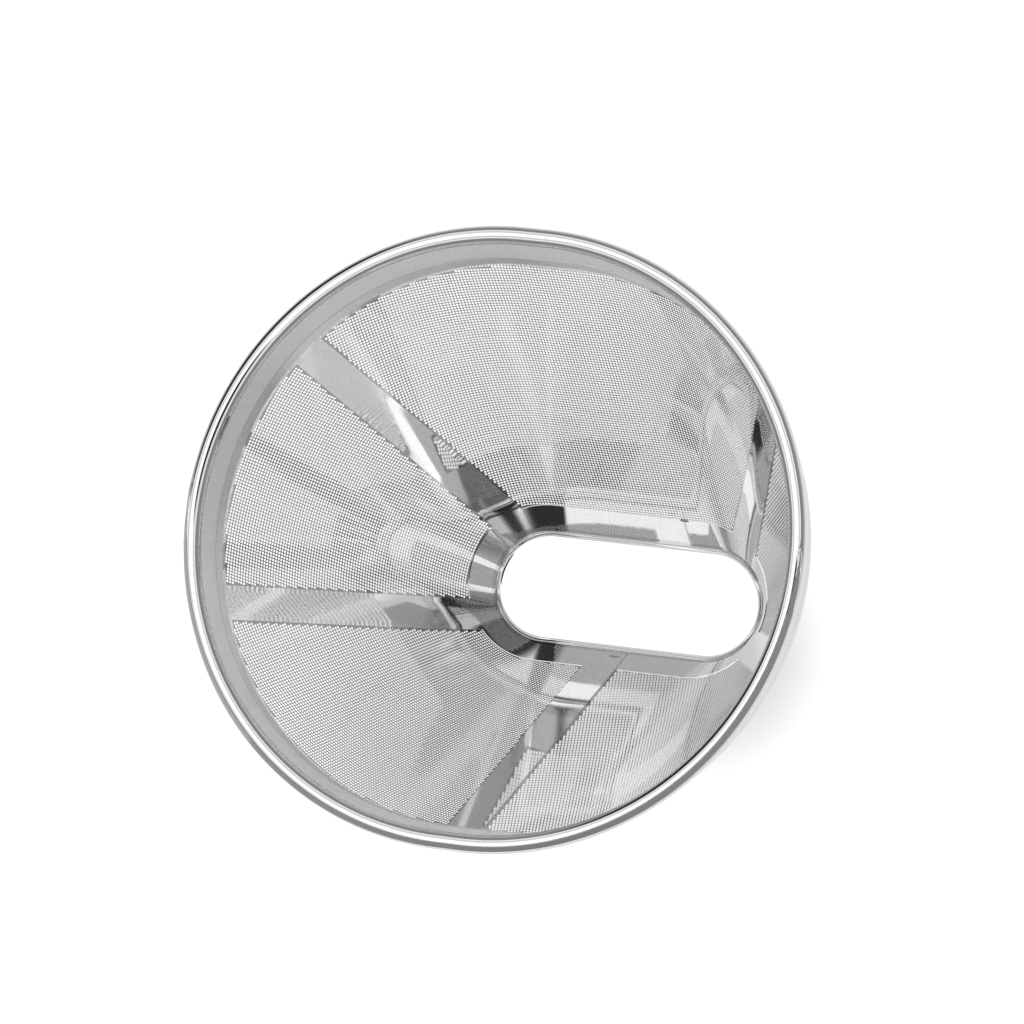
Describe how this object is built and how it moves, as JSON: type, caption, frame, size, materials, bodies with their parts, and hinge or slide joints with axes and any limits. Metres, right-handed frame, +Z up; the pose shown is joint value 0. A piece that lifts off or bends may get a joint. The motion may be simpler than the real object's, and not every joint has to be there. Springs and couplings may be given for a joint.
{
  "type": "reusable coffee filter",
  "caption": "Cone-shaped metal coffee filter with perforated wall panels between plain stripes, a rolled round rim and a closed oblong base; holds ground coffee while brewed coffee drains.",
  "frame": {"origin": "on the table, under the middle of the oblong base", "axes": "+Z up out of the mouth, +X along the oblong base, +Y across it; the weld seam is on the -Y side"},
  "size_m": [0.1244, 0.12, 0.095],
  "materials": {
    "wall_sheet": "polished",
    "rim_sheet": "mirror polished",
    "pan_sheet": "mirror polished"
  },
  "bodies": {
    "root": {"filter_wall": "wall_sheet", "rim_ring": "rim_sheet", "base_pan": "pan_sheet"}
  },
  "joints": []
}
